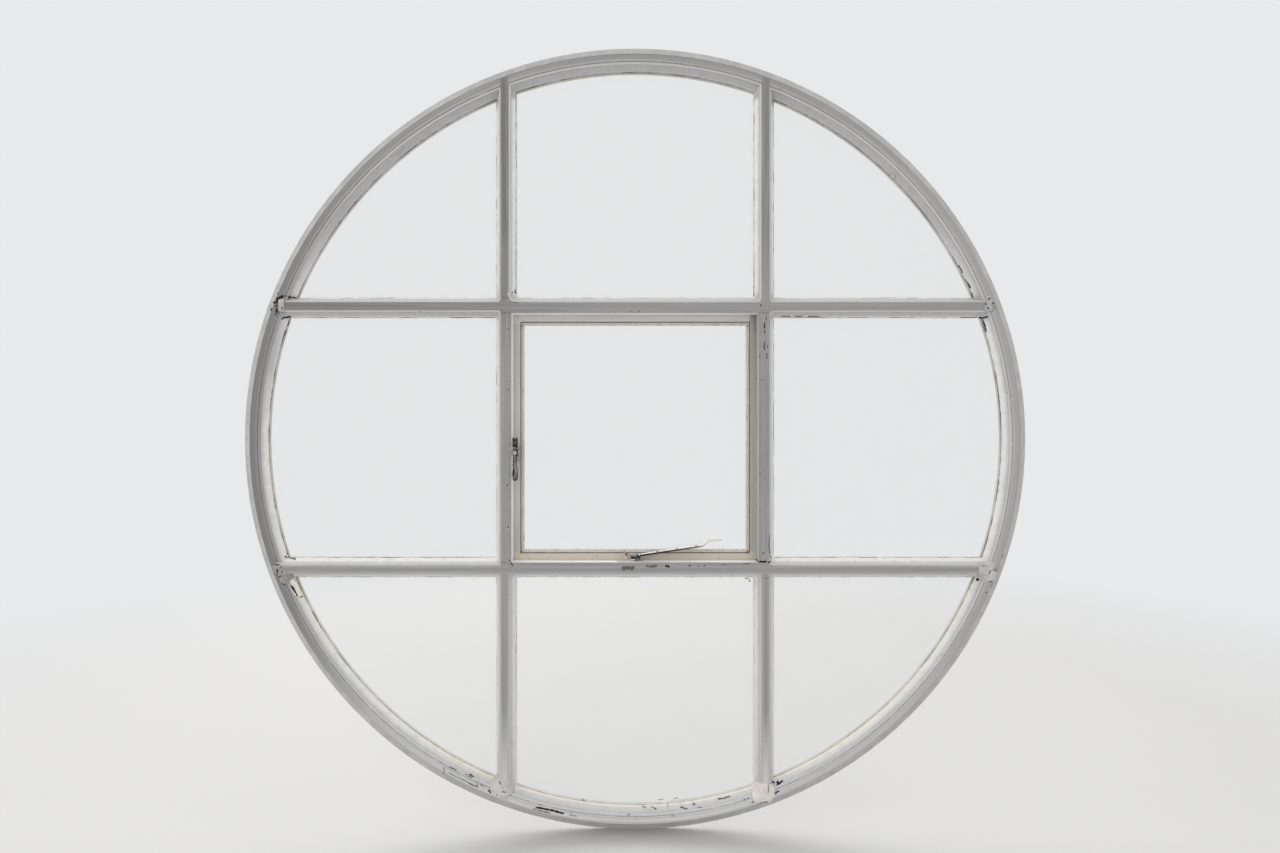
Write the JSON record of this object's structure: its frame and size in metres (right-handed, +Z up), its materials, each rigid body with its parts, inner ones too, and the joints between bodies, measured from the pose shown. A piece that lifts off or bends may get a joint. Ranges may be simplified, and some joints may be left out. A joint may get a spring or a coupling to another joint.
{
  "type": "round window with opening casement",
  "caption": "Round painted steel window with glazing bars, puttied panes and a square outward-opening casement with cockspur handle and peg stay.",
  "frame": {"origin": "centre of the ring on the outer face of its fixing fin", "axes": "+Y out of the building along the window's axis, +Z up, +X to the right seen from the room"},
  "size_m": [1.8258, 0.0584, 1.8258],
  "materials": {
    "painted_steel": "old off-white gloss paint in many coats",
    "painted_putty": "painted linseed putty, ragged at the glass",
    "bare_putty": "weathered cream putty",
    "dark_bedding": "dark grimy bedding",
    "window_glass": "clear float glass, a little grimy",
    "painted_ironmongery": "painted over, chipped",
    "worn_ironmongery": "dark weathered metal with rubbed edges"
  },
  "bodies": {
    "frame": {"ring_frame": "painted_steel", "upper_crossbar": "painted_steel", "lower_crossbar": "painted_steel", "upper_left_bar": "painted_steel", "upper_right_bar": "painted_steel", "middle_left_bar": "painted_steel", "middle_right_bar": "painted_steel", "lower_left_bar": "painted_steel", "lower_right_bar": "painted_steel", "surround_head": "painted_steel", "surround_sill": "painted_steel", "surround_left_jamb": "painted_steel", "surround_right_jamb": "painted_steel", "bar_end_rivets": "painted_steel", "upper_left_pane": "window_glass", "upper_middle_pane": "window_glass", "upper_right_pane": "window_glass", "middle_left_pane": "window_glass", "middle_right_pane": "window_glass", "lower_left_pane": "window_glass", "lower_middle_pane": "window_glass", "lower_right_pane": "window_glass", "upper_left_putty": "painted_putty", "upper_middle_putty": "painted_putty", "upper_right_putty": "painted_putty", "middle_left_putty": "painted_putty", "middle_right_putty": "painted_putty", "lower_left_putty": "painted_putty", "lower_middle_putty": "painted_putty", "lower_right_putty": "painted_putty", "upper_hinge_frame_leaf": "painted_ironmongery", "lower_hinge_frame_leaf": "painted_ironmongery", "hinge_pins": "painted_ironmongery", "peg_plate": "painted_ironmongery", "peg_plate_screws": "painted_ironmongery", "stay_peg": "worn_ironmongery"},
    "sash": {"sash_frame": "painted_steel", "sash_pane": "window_glass", "sash_bedding": "dark_bedding", "sash_putty": "bare_putty", "upper_hinge_sash_leaf": "painted_ironmongery", "lower_hinge_sash_leaf": "painted_ironmongery", "handle_plate": "worn_ironmongery", "handle_pivot": "worn_ironmongery", "stay_bracket": "worn_ironmongery", "sash_screws": "worn_ironmongery", "stay_swivel_pin": "worn_ironmongery"},
    "handle": {"handle_lever": "worn_ironmongery"},
    "stay_knuckle": {"stay_knuckle": "worn_ironmongery", "stay_lift_pin": "worn_ironmongery"},
    "stay_arm": {"stay_arm": "worn_ironmongery"}
  },
  "joints": [
    {"name": "sash_swing", "type": "hinge", "parent": "frame", "child": "sash", "pos_m": [0.298, 0.006, 0.003], "axis": [0, 0, -1], "range_deg": [0, 90]},
    {"name": "handle_turn", "type": "hinge", "parent": "sash", "child": "handle", "pos_m": [-0.274, -0.0415, -0.031], "axis": [0, -1, 0], "range_deg": [0, 90]},
    {"name": "stay_swivel", "type": "hinge", "parent": "sash", "child": "stay_knuckle", "pos_m": [-0.005, -0.021, -0.2755], "axis": [0, 0, 1], "range_deg": [-105, 0]},
    {"name": "stay_lift", "type": "hinge", "parent": "stay_knuckle", "child": "stay_arm", "pos_m": [0.008, -0.021, -0.2695], "axis": [0, -1, 0], "range_deg": [-8, 50]}
  ]
}
